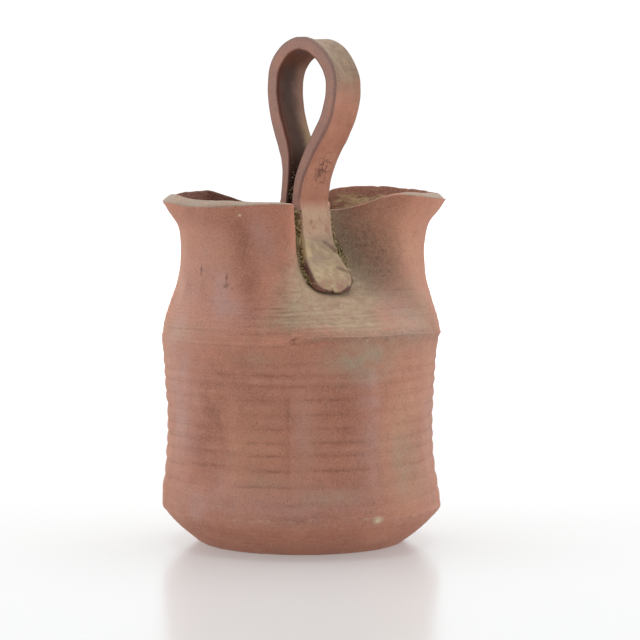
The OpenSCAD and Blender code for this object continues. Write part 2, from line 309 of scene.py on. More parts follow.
# ---------------------------------------------------------------- thrown body
COLUMNS = 480
T = 360.0 - np.arange(COLUMNS) * 360.0 / COLUMNS  # counter-clockwise from above
COS, SIN = np.cos(np.radians(T)), -np.sin(np.radians(T))
PSI = psi_of(T)
# the small bump and nick on the ledge, left of the middle
NICK_PSI, NICK_Z = -3.2, 75.2
ARRIS_Z = 13.4  # the edge between the belly and the trimmed chamfer
FOOT = np.array([
    [0, 35.6], [0.25, 36.4], [0.7, 37.2], [1.9, 38.9], [5.4, 43.2], [9.2, 46.9], [11.8, 49.1],
    [12.9, 49.85], [ARRIS_Z, 50.1], [14.0, 50.1], [14.8, 50.05],
])
# rings as radius and height: the foot from its middle out, the ledge, the floor inside from its edge in
FOOT_RINGS = ((4, 0.5), (14, 0.45), (24, 0.3), (30, 0.12), (33, 0.0), (35.0, 0.0))
LEDGE_RINGS = ((50.08, 75.35), (50.02, 75.62), (49.82, 75.72))
FLOOR_RINGS = ((33, 5.5), (29, 5.2), (24, 5.3), (18, 5.15), (12, 5.3), (6, 5.2), (2, 5.25))
INSIDE_PITCH = 5.2  # from one throwing ridge to the next inside
INNER_R = SHOULDER_R - BELLY_WALL
HOLLOW = np.array([
    [0, INNER_R - 17], [5.0, INNER_R - 17], [5.8, INNER_R - 11], [9, INNER_R - 6],
    [15, INNER_R - 2.6], [24, INNER_R - 1.6], [44, INNER_R - 2.4], [66, INNER_R - 1.7],
    [SHOULDER_Z, INNER_R + 0.2],
])
# worn places on the lip: angle t, depth, half width in degrees
CHIPS = (
    (22, 0.9, 14), (322, 0.7, 1.3), (341, 0.5, 1.0), (334, 0.35, 1.6), (313, 0.25, 2.2), (150, 0.25, 2.0),
    (205, 0.3, 1.5), (20, 0.25, 1.2), (118, 0.2, 1.0), (99.5, 0.5, 0.9), (60, 0.2, 1.4),
    (255, 0.4, 1.2), (232, 0.3, 1.1), (4, 0.2, 0.8),
)
# section of the lip: share from the outer edge to the inner one, and how far it is worn down
LIP_CUT = (
    (0.0, 0.42), (0.06, 0.12), (0.18, 0.0), (0.4, -0.08), (0.65, -0.08), (0.85, 0.02),
    (0.95, 0.16), (1.0, 0.45),
)


def ring(r, z):
    r = np.broadcast_to(r, (COLUMNS,))
    z = np.broadcast_to(z, (COLUMNS,))
    return np.stack([r * COS, r * SIN, z], -1)


def arris_shift():
    """How far the edge between the belly and the trimmed chamfer wanders up and down."""
    edge = 0.5 * np.sin(np.radians(3 * PSI + 70)) + 0.35 * np.sin(np.radians(7 * PSI))
    edge += 0.6 * ease((PSI + 20) / 30) * (1 - ease((PSI - 30) / 30))
    edge += -0.9 * bump(PSI, 0.5, 3.0) + 0.5 * bump(PSI, -14, 4) + 0.12 * np.sin(np.radians(41 * PSI))
    return 0.8 * edge


def body_rows():
    """Every ring of the body from the middle of the foot, up outside, over the lip and down inside."""
    rows, inner = [], []

    def add(points, share):
        rows.append(points)
        inner.append(np.full(COLUMNS, share))

    outward = np.stack([COS, SIN, 0 * COS], -1)
    # foot, a little hollow in the middle
    for r, z in FOOT_RINGS:
        add(ring(r, z), 0)
    # rounded foot edge and trimmed chamfer
    shift = arris_shift()
    heights = [0.12, 0.3, 0.6, 1.0, 1.5], np.arange(2.1, 12.6, 0.42), np.arange(12.7, 14.2, 0.2)
    for z in np.concatenate(heights):
        p = ring(read(z, FOOT), z)
        k = ease((z - 2) / 3) * (1 - ease((z - 12.4) / 1.0))
        rough = 0.13 * waves(p, 16, 21) + 0.05 * waves(p, 5, 22)
        turned = 0.05 * np.sin(2 * np.pi * (z + 0.15 * shift) / 1.7)
        scuff = 0.10 * waves(p, 3.5, 23) * bump(z, ARRIS_Z, 0.8)
        scuff = scuff + 0.12 * waves(p, 9, 24) * bump(z, 0.5, 1.2)
        p = ring(read(z, FOOT) + k * (rough + turned) + scuff, z)
        p[:, 2] += shift * ease((z - 7) / 6)
        add(p, 0)
    # belly
    for z in np.arange(14.4, 75.05, 0.3):
        relief = belly_relief(T, np.full(COLUMNS, z))
        r = read(z, BELLY) + relief * ease((z - ARRIS_Z) / 2.5) * (1 - ease((z - 73.5) / 2.2))
        r = r - 0.2 * bump(z, 74.1, 0.5) * window(PSI, -60, 30, 14)
        r = r - 0.8 * bump(PSI, NICK_PSI, 1.0) * bump(z, NICK_Z - 0.7, 0.6)
        zz = z + shift * (1 - ease((z - 14) / 5)) + ledge_shift(T, z)
        add(ring(np.minimum(r, SHOULDER_R), zz), 0)
    # ledge
    for r, z in LEDGE_RINGS:
        nick = 0.7 * bump(PSI, NICK_PSI, 1.0)
        add(ring(r - nick + 0.05 * waves(ring(50, z), 7, 31), z + ledge_shift(T, z)), 0)
    # neck outside
    heights = ([0.004, 0.012, 0.022], np.linspace(0.03, 0.50, 78), np.linspace(0.51, 0.985, 48), [0.993])
    for s in np.concatenate(heights):
        sv = np.full(COLUMNS, s)
        p = neck_points(T, sv, False)
        w = 0.15 * waves(p, 30, 41) + 0.05 * waves(p, 10, 42)
        fine = 0.055 * np.sin(2 * np.pi * (p[:, 2] + 0.25 * waves(p, 40, 43)) / 1.25)
        fine += 0.045 * np.sin(2 * np.pi * (p[:, 2] + 0.35 * waves(p, 30, 44)) / 2.7)
        fine = fine * ease((0.46 - s) / 0.25)
        keep = ease(s / 0.04) * ease((1.0 - s) / 0.05) * (0.35 + 0.65 * lobe(T, sv))
        crumb = 0.5 * bump(PSI, NICK_PSI + 1.4, 1.3) * bump(p[:, 2], 76.6, 0.5)
        w = w - 0.10 * ribs(PSI, p[:, 2])
        p = p + outward * ((w + fine) * keep + crumb)[:, None]
        p[:, 2] += ledge_shift(T, p[:, 2])
        add(p, 0)
    # lip: a square cut with worn edges
    one = np.ones(COLUMNS)
    outer = neck_points(T, one, False)
    inside = neck_points(T, one, True)
    up = (outer - neck_points(T, one * 0.975, False)) + (inside - neck_points(T, one * 0.975, True))
    up /= np.linalg.norm(up, axis=1)[:, None]
    worn = 0.22 + 0.08 * waves(outer, 12, 51)
    chip = 0.12 * np.clip(waves(outer, 4, 53) - 1.2, 0, 1)
    for at, deep, wide in CHIPS:
        chip += deep * bump(wrap(T - at), 0, wide)
    for share, drop in LIP_CUT:
        p = outer * (1 - share) + inside * share
        down = drop * worn / 0.22 * 0.8 + chip * (1 - 0.7 * share) + 0.05 * waves(p, 5, 52)
        add(p - up * down[:, None], share)
    # inside of the neck
    for s in np.linspace(0.985, 0.0, 60):
        sv = np.full(COLUMNS, s)
        p = neck_points(T, sv, True)
        fine = 0.14 * np.sin(2 * np.pi * (p[:, 2] + 1.0 * waves(p, 40, 61)) / INSIDE_PITCH)
        keep = ease((1.0 - s) / 0.05) * lobe(T, sv) * ease(s / 0.04)
        add(p - outward * (np.abs(fine) * keep)[:, None], 1)
    # inside of the belly, down to the floor
    for z in np.arange(75.2, 5.9, -1.0):
        ridge = 0.22 * np.abs(np.sin(np.pi * (z - 5 * PSI / 360) / INSIDE_PITCH)) * ease((75 - z) / 5)
        add(ring(read(z, HOLLOW) - ridge, z), 1)
    for r, z in FLOOR_RINGS:
        add(ring(r, z + 0.1 * np.sin(np.radians(PSI))), 1)
    return np.array(rows), np.array(inner)


rows, inner = body_rows()

# ---- kiln marks, with painted light and shade among them: soft fields over the surface, carried as attributes
X, Y, Z = rows[..., 0], rows[..., 1], rows[..., 2]
PSI_ALL = np.broadcast_to(PSI, Z.shape)
OUTSIDE = 1 - inner
# each mark: psi, height, half width in degrees, half height in mm, strength
# mauve in the clay; the marks on the belly ridges at psi 0.6 and near 29 are painted highlights
MAUVE_AND_HIGHLIGHTS = (
    (-60, 50, 10, 26, 0.95), (-62, 92, 14, 20, 0.5), (-9.5, 109, 4.5, 7, 1.0), (-40, 104, 10, 14, 0.5),
    (-33, 91, 6, 7, 1.0), (-28, 84, 10, 5, 0.6), (52, 84, 9, 8, 0.8), (60, 94, 8, 9, 0.4),
    (0.6, 44, 3.2, 13, 0.7), (28.5, 62, 4.5, 2.6, 1.2),
    (29, 54.5, 4.5, 1.8, 1.1), (29.5, 45, 4.6, 9, 0.65), (28.5, 32, 5, 12, 0.6),
    (-47.5, 16.5, 3.5, 3.6, 1.3), (-20, 17.5, 26, 3.4, 0.7), (6, 21, 22, 5, 0.6),
    (-34, 25, 10, 5, 0.5), (70, 40, 12, 24, 0.5),
    (110, 55, 18, 22, 0.8), (150, 30, 16, 18, 0.7), (-150, 50, 14, 26, 0.9), (-110, 40, 14, 20, 0.7),
    (175, 60, 14, 14, 0.6), (120, 100, 14, 14, 0.7), (-120, 98, 14, 16, 0.7),
)
SCORCH = (
    (-41, 44, 8, 18, 1.0), (-20, 60, 10, 9, 0.4), (-16, 40, 9, 16, 0.12), (14, 42, 10, 14, 0.3),
    (31.5, 44, 3, 9, 0.4), (-55, 38, 6, 8, 0.4), (62, 84, 13, 9, 0.5), (-30, 66, 18, 6, 0.35),
    (-20, 112, 7, 9, 0.55), (-18, 99, 4.5, 12, 0.65), (-2, 14, 6, 1.6, 0.8), (-52, 10, 18, 5, 0.4),
    (-38, 117, 14, 3.5, 0.5), (-22, 90, 4, 10, 0.5), (-44, 93, 6, 6, 0.4),
    (-58.8, 93.5, 4, 3.5, 0.9), (60, 77, 24, 4, 0.6), (20, 50, 4, 10, 0.3), (100, 40, 12, 18, 0.7),
    (135, 46, 12, 16, 0.8), (-165, 45, 12, 18, 0.8), (-95, 50, 8, 16, 0.5), (-130, 60, 10, 10, 0.5),
    (160, 15, 30, 2, 0.6), (-100, 14, 24, 2, 0.5),
)
TAN = (
    (28, 69.5, 11, 6, 1.0), (18, 68, 9, 5, 0.45), (48, 34, 8, 8, 0.75), (55, 24, 9, 5, 0.5),
    (12, 22, 10, 2.2, 0.6), (-14, 27, 6, 2.4, 0.5), (62, 84, 12, 9, 0.7), (44, 79, 10, 4, 0.5),
    (-18, 69, 10, 2, 0.3), (-60, 77.5, 16, 3, 0.6),
    (150, 66, 16, 7, 0.8), (-120, 30, 12, 9, 0.6), (178, 40, 12, 12, 0.5),
)
# peach patches in the clay; the marks at psi -23 and 2 brighten the front of the belly as painted light
PEACH_AND_FRONT_LIGHT = (
    (42, 52, 9, 24, 0.9), (62, 58, 14, 22, 0.9), (-74, 60, 12, 40, 0.7), (-74, 105, 14, 18, 0.9),
    (56, 104, 12, 20, 0.9), (-44, 110, 10, 12, 0.4), (50, 20, 14, 6, 0.5), (80, 100, 20, 20, 0.8),
    (84, 40, 12, 26, 0.5), (-90, 60, 14, 30, 0.7), (128, 70, 12, 14, 0.5), (-155, 100, 16, 18, 0.6),
    (-23, 43, 10, 15, 1.0), (2, 40, 4.5, 13, 0.9), (50, 46, 8, 12, 0.3), (-20, 106, 9, 13, 0.45),
    (-38, 100, 12, 12, 0.3),
)


def marks(table):
    """One kind of colour mark over the outside, from its table."""
    out = np.zeros(Z.shape)
    for centre, height, wide, tall, strength in table:
        d = (wrap(PSI_ALL - centre) / wide) ** 2 + ((Z - height) / tall) ** 2
        out += strength * np.exp(-0.7 * d)
    return out * OUTSIDE


def drifted_ash():
    """Ash that settled on the shelf under each tongue, and beside it a smoky grey that is also painted shade
    of the valley.
    """
    x = np.where(Y < 0, X, -X - 8)
    near = np.where(Y < 0, 1.0, 0.9) * ease((np.abs(Y) - 1) / 3) * (inner < 0.99)
    near *= ease((Z - SHOULDER_Z) / 0.6)
    left = -37 + 0.62 * (Z - 79)
    right = 4 + 10 * ease((Z - 78) / 12)
    shelf = ease((x - left) / 16 + 0.4) * (1 - ease((x - right) / 11 + 0.45))
    shelf *= (1 - 0.5 * ease((Z - 97) / 10)) * (0.2 + 0.8 * ease((Z - 76) / 5 - 0.3 * ease((-8 - x) / 10)))
    # the smoky grey beside the strap is also painted shade of the valley
    smoke_and_shade = ease((x - 3) / 6) * (1 - ease((x - 12) / 16)) * ease((Z - 84) / 14)
    smoke_and_shade *= 1 - 0.25 * ease((Z - 106) / 8)
    low_band = 0.5 * bump(Z, 77.2, 1.6) * window(PSI_ALL, 4, 62, 12) * OUTSIDE
    return shelf * near * (1 - low_band), smoke_and_shade * near + low_band


def groove_depth(reach=6):
    """How hollow the surface is along its profile: positive in grooves, negative on ridges."""
    r = np.hypot(X, Y)
    pad = np.pad(r, ((reach, reach), (0, 0)), mode="edge")
    mean = sum(pad[k : k + len(r)] for k in range(2 * reach + 1)) / (2 * reach + 1)
    return np.clip(mean - r, -0.4, 0.4) * (Z < 75) * OUTSIDE


ash, smoke_and_shade = drifted_ash()
arris = bump(Z - arris_shift()[None, :], ARRIS_Z + 0.1, 0.55) * OUTSIDE
arris *= 0.25 + 0.75 * window(PSI, -50, 34, 10)
lip_band = np.zeros(Z.shape)
lip_at = int(np.argmax(inner[:, 0] > 0)) - 1
lip_band[lip_at : lip_at + 8] = 1.0
lip_band *= 1 - 0.8 * window(T, 255, 345, 16)
lip_band *= 1 - 0.95 * window(T, 67, 116, 3)
# painted shade: darker lines under the ledge, along the fingertip lines, in the crease and along the ribs
ledge_line = bump(Z - ledge_shift(T[None, :], Z), 74.2, 0.45) * OUTSIDE
ledge_line *= 0.3 + 0.7 * window(PSI, -60, 34, 10)
dark_lines = np.clip(finger_lines(PSI_ALL, Z) * 2.6, 0, 1) * OUTSIDE
crease = bump(PSI_ALL, -5.3, 0.55) * window(Z, 29, 56, 6) * OUTSIDE
rib_lines = ribs(PSI_ALL, Z) * OUTSIDE
line = 0.55 * dark_lines + 0.45 * crease + 0.35 * ledge_line + 0.55 * rib_lines
body = make_mesh("thrown_body", inside_cad(rows.reshape(-1, 3), "body"), tube_faces(len(rows), COLUMNS), {
    "hollow": groove_depth(), "line": np.clip(line, 0, 1),
    "ash": ash, "smoke_and_shade": smoke_and_shade, "mauve": marks(MAUVE_AND_HIGHLIGHTS), "scorch": marks(SCORCH), "tan": marks(TAN),
    "peach": marks(PEACH_AND_FRONT_LIGHT), "arris": arris, "inner": inner, "lip": lip_band,
})


# ---------------------------------------------------------------- strap handle
STRAP_W, STRAP_T, BACK_THICKER = 13.0, 5.0, 0.7
TONGUE_W, TONGUE_T = 16.6, 3.6
LOOP_TOP = 180.2
TWIST, LOOP_LEAN = 11.0, 4.1  # turn of the loop in degrees, and how far it leans
LEAN_SIDE, LEAN_FRONT = 0.75, 0.45  # shares of that lean towards +X and towards the front
CRACK_Z = 133.8
WALL_GAP = 0.6
TONGUE_ROUND, TONGUE_SHIFT, NOSE = 6.0, 2.6, 7.0
STRAP_SHARE = 0.52  # how much of the lean of the mouth the strap follows
# distance of the front leg and of the back leg from the middle, and the share of the way to the top
LOOP = np.array([
    [4.1, 4.1, 0.045], [3.95, 3.95, 0.10], [4.0, 4.1, 0.17], [4.7, 4.8, 0.247],
    [5.8, 6.2, 0.318], [7.4, 8.5, 0.393], [9.95, 11.2, 0.479], [12.95, 13.7, 0.59],
    [14.8, 14.9, 0.706], [14.2, 14.5, 0.809], [10.7, 12.1, 0.902], [5.2, 6.4, 0.977],
])
LOOP_APEX = -0.5
LOOP_TILT = 0.06


def strap_lean(z):
    return STRAP_SHARE * LEAN * (np.minimum(z, RIM_LOW) - SHOULDER_Z) / (RIM_LOW - SHOULDER_Z)


def valley(s):
    return np.array([float(read(s, NECK, 3)), SHOULDER_Z + s * (RIM_LOW - SHOULDER_Z)])


def valley_normal(s):
    d = valley(s + 0.02) - valley(s - 0.02)
    return np.array([d[1], -d[0]]) / np.linalg.norm(d)


def strap_line(steps=7):
    """Centreline from the front tongue over the loop to the back tongue: distance from the middle, height."""
    tongue = [valley(s) + (STRAP_T / 2 + WALL_GAP) * valley_normal(s)
              for s in (0.325, 0.38, 0.45, 0.54, 0.64, 0.74, 0.83, 0.91)]
    rise = LOOP_TOP - STRAP_T / 2 - RIM_LOW
    front = tongue + [np.array([a, RIM_LOW + h * rise]) for a, _, h in LOOP]
    back = tongue + [np.array([b, RIM_LOW + h * rise]) for _, b, h in LOOP]
    apex = [np.array([LOOP_APEX, RIM_LOW + rise])]
    line = front + apex + [np.array([-p[0], p[1]]) for p in back[::-1]]
    n = len(line) - 1
    out = []
    for i in range(n):
        a, b, c, d = line[max(i - 1, 0)], line[i], line[i + 1], line[min(i + 2, n)]
        for k in range(steps):
            u = k / steps
            out.append((2 * b + (c - a) * u + (2 * a - 5 * b + 4 * c - d) * u * u
                        + (3 * b - 3 * c + d - a) * u ** 3) / 2)
    out.append(line[-1])
    return np.array(out)


def strap_section():
    """Points round a flat strap with soft arrises: share across the width and the thickness."""
    flat = np.array([0.87, 0.84, 0.81, 0.77, 0.71, 0.64, 0.56, 0.48, 0.4, 0.32, 0.24, 0.16, 0.08])
    across = np.r_[-flat, 0, flat[::-1]]
    corner = np.radians([22.5, 45, 67.5])
    upright = np.array([-0.6, -0.3, 0, 0.3, 0.6])
    quarter = np.r_[
        np.stack([across, -np.ones(len(across))], -1),
        np.stack([0.87 + 0.13 * np.sin(corner), -0.6 - 0.4 * np.cos(corner)], -1),
        np.stack([np.ones(5), upright], -1),
        np.stack([0.87 + 0.13 * np.cos(corner), 0.6 + 0.4 * np.sin(corner)], -1),
    ]
    return np.r_[quarter, -quarter]


def tongue_relief(x, q1, d, half):
    """The thumb's hollow on the outer face of a tongue, with its far rim pushed up."""
    face = np.clip(q1, 0, 1) * (1 - ease((d - 19) / 8))
    out = -1.2 * bump(d, 11, 7.0) * np.exp(-(((x - 0.2) / 4.4) ** 2))
    out += 0.6 * bump(d, 8.0, 5.5) * np.exp(-(((x - (half - 1.4)) / 1.5) ** 2))
    out += 0.35 * bump(d, 9.0, 6.0) * np.exp(-(((x + (half - 1.3)) / 1.3) ** 2))
    out += 0.6 * ease((x - 3.1 - 0.85 * (21 - d)) / 1.6 + 0.4) * bump(d, 17, 6) - 0.45 * fold_lines(x, d)
    return out * face


def fold_lines(x, d):
    """Two short creases where the clay folded over at the right of the thumb's hollow."""
    high = bump(x, 3.1 + 0.85 * (21 - d), 0.55) * window(d, 15.5, 22.5, 2)
    low = bump(x, 5.0 + 0.75 * (9.5 - d), 0.55) * window(d, 5.5, 10.5, 2)
    return np.maximum(high, low)


def build_strap():
    """The strap: rings of its section along the centreline, d being the way from the nearer end."""
    line = strap_line()
    n = len(line)
    along = np.gradient(line, axis=0)
    along /= np.linalg.norm(along, axis=1)[:, None]
    normal = np.stack([along[:, 1], -along[:, 0]], -1)
    run = np.r_[0, np.cumsum(np.linalg.norm(np.diff(line, axis=0), axis=1))]
    total = run[-1]
    shape = strap_section()
    q0, q1 = shape[:, 0], shape[:, 1]
    rings, crack, fold = [], [], []
    flat = np.abs(q1) > 0.9
    for i in range(n):
        d = min(run[i], total - run[i])
        front = run[i] < total / 2
        share = max(0.05, 1 - (1 - min(d / TONGUE_ROUND, 1)) ** 3) ** 0.42
        w = (STRAP_W + (TONGUE_W - STRAP_W) * (1 - ease((d - 8) / 14))) * share / 2
        t = STRAP_T + (TONGUE_T - STRAP_T) * (1 - ease(d / 16))
        t *= 0.28 + 0.72 * np.sin(np.pi / 2 * min(d / NOSE, 1))
        seat = 0.4 * (STRAP_T - t)
        t /= 2
        t += BACK_THICKER / 2 * ease((run[i] / total - 0.52) / 0.1) * ease((d - 45) / 15)
        z = line[i, 1]
        ls = ease((z - RIM_LOW) / 34)
        turn = np.radians(TWIST * ls)
        shift = strap_lean(z) + LEAN_SIDE * LOOP_LEAN * ls - TONGUE_SHIFT * (1 - ease((d - 6) / 34))
        x = -q0 * w
        off = q1 * t - seat + tongue_relief(x, q1, d, w)
        # a faint hollow along the strap, a bead beside each arris, and small unevenness
        off = off - 0.12 * np.sign(q1) * (1 - q0**2) * flat
        off = off - 0.07 * np.sign(q1) * bump(np.abs(q0), 0.76, 0.05) * flat * ease((d - 14) / 8)
        off = off - 0.5 * bump(q0, 0.1, 0.5) * (q1 > 0.9) * ease((z - 160) / 14)  # dished over the top
        bead = 0.45 * ease((z - 128) / 20) * (1 - 0.6 * ease((z - 172) / 8))
        off = off + bead * ease((np.abs(q0) - 0.35) / 0.5) * (q1 > 0.6)
        place = np.stack([x, off + (0 if front else 40), np.full_like(x, run[i])], -1)
        off = off + 0.10 * waves(place, 16, 71) + 0.05 * waves(place, 5, 72)
        x = x * (1 + 0.012 * waves(place, 22, 73))
        y = -(line[i, 0] + normal[i, 0] * off)
        zz = z + normal[i, 1] * off
        # torn end of the tongue, with two splits
        tear = 1 - ease(d / 3.5)
        zz = zz - tear * (0.3 * waves(place * np.array([1, 0, 0]), 4, 74))
        zz = zz + tear * (1.0 * bump(x, -1.4, 0.45) + 0.8 * bump(x, 4.9, 0.4))
        px = x * np.cos(turn) - y * np.sin(turn) + shift
        py = x * np.sin(turn) + y * np.cos(turn) - LEAN_FRONT * LOOP_LEAN * ls
        zz = zz - LOOP_TILT * x * ls
        rings.append(np.stack([px, py, zz], -1))
        crack.append(front * bump(z, CRACK_Z, 5.4) * bump(x, 1.0, 2.8) * (q1 > 0.5))
        fold.append(fold_lines(x, d) * (q1 > 0.5))
    rings = np.array(rings)
    c = rings.shape[1]
    corner = ease((np.abs(q0) - 0.86) / 0.06)
    field = {
        "rim_in": corner * ease((-q1 - 0.6) / 0.12), "rim_out": corner * ease((q1 - 0.6) / 0.12),
        "across": -q0, "outer": q1, "side": ease((np.abs(q0) - 0.87) / 0.10),
        "bead": bump(np.abs(q0), 0.77, 0.03) + 0.8 * bump(np.abs(q0), 0.93, 0.02),
    }
    field = {key: np.broadcast_to(value, (n, c)) for key, value in field.items()}
    field.update(crack=np.array(crack), fold=np.array(fold))
    points = inside_cad(rings.reshape(-1, 3), "strap_handle")
    return make_mesh("strap_handle_clay", points, tube_faces(n, c), field, smooth=60), rings


strap, STRAP_RINGS = build_strap()

# ---------------------------------------------------------------- crumbly slip joints
def wall_y(x, s):
    """How far the neck's outer face is from the middle, at a place along X and a share of the neck."""
    c = np.minimum(np.abs(x) / read(s, NECK, 1), 1)
    g = read(s, NECK, 3)
    lobed = 1 - np.exp(-((c / read(s, NECK, 5)) ** 4))
    return np.sin(np.arccos(c)) * (g + (read(s, NECK, 2) - g) * lobed)


def blunt_ball():
    """Corners and faces of an icosahedron of radius 1."""
    tall = 1 / np.sqrt(5)

    def belt(turn, z):
        a = np.radians(72 * np.arange(5)) + turn
        return np.stack([2 * tall * np.cos(a), 2 * tall * np.sin(a), np.full(5, z)], -1)

    corners = np.r_[[[0, 0, 1]], belt(0, tall), belt(np.pi / 5, -tall), [[0, 0, -1]]]
    faces = []
    for k in range(5):
        n = (k + 1) % 5
        faces += [(0, 1 + k, 1 + n), (1 + k, 6 + k, 1 + n), (1 + n, 6 + k, 6 + n), (11, 6 + n, 6 + k)]
    return corners, faces


CORNERS, CRUMB_FACES = blunt_ball()
PACKED, CLINGING = 3400, 700  # how many crumbs are tried beside the tongue and in the loop
CROTCH_LOW, CROTCH_HIGH = 117, 141  # heights of the part of the loop's inner face where crumbs cling


def build_slip(name, side, seed):
    """Crumbs of dry slip packed along both sides of a tongue and between the legs of the loop."""
    rng = np.random.default_rng(seed)
    verts, faces = [], []

    def crumb(centre, r):
        start = len(verts)
        shape = CORNERS * r * rng.uniform(0.7, 1.35, (12, 1)) * rng.uniform(0.7, 1.4, (1, 3))
        verts.extend(shape + np.array(centre) * [1, -side, 1])
        faces.extend([[start + k for k in f] for f in CRUMB_FACES])

    for _ in range(PACKED):
        flank = rng.choice([-1, 1])
        wide = flank * side > 0  # the flank on the right, seen from outside, is the wider seam
        s = rng.uniform(0.42, 1.0)
        half = 6.4 + 1.7 * ease((0.72 - s) / 0.3)
        spread = rng.uniform(0, 1) ** (1.0 if wide else 1.5)
        reach = 2.8 + 2.0 * wide * bump(s, 0.62, 0.16)
        x = flank * (half - 0.3 + reach * spread + 1.0 * wide * bump(s, 0.6, 0.25))
        x -= TONGUE_SHIFT * (1 - ease((s - 0.35) / 0.75))
        r = rng.uniform(0.12, 0.42) * (1.2 - 0.45 * spread)
        tall = 2.8 if wide else 4.8
        stand = r * 0.5 + tall * (1 - spread) ** 1.2 * rng.uniform(0, 1) ** 0.8
        z = SHOULDER_Z + s * (RIM_LOW - SHOULDER_Z)
        crumb((x + strap_lean(z), float(wall_y(x + strap_lean(z) - lean(z), s)) + stand, z), r)
    # crumbs clinging to the inner face of this leg of the loop, thickest in the crotch
    middle = len(STRAP_RINGS) // 2
    leg = STRAP_RINGS[:middle] if side > 0 else STRAP_RINGS[middle:]
    seats = leg[:, 2:25].reshape(-1, 3)  # the inner face, without its rounded edges
    seats = seats[(seats[:, 2] > CROTCH_LOW) & (seats[:, 2] < CROTCH_HIGH)]
    for _ in range(CLINGING):
        seat = seats[rng.integers(len(seats))]
        if rng.uniform(0, 1) > ease((seat[2] - (CROTCH_LOW - 1)) / 25) ** 0.5:
            x = seat[0] + rng.normal(0, 0.3)
            y = -side * seat[1] - rng.uniform(0, 0.5)
            z = seat[2] + rng.normal(0, 0.4)
            crumb((x, y, z), rng.uniform(0.1, 0.3))
    return make_mesh(name, np.array(verts), faces, smooth=180)


front_slip = build_slip("front_slip_crumbs", 1, 101)
back_slip = build_slip("back_slip_crumbs", -1, 202)

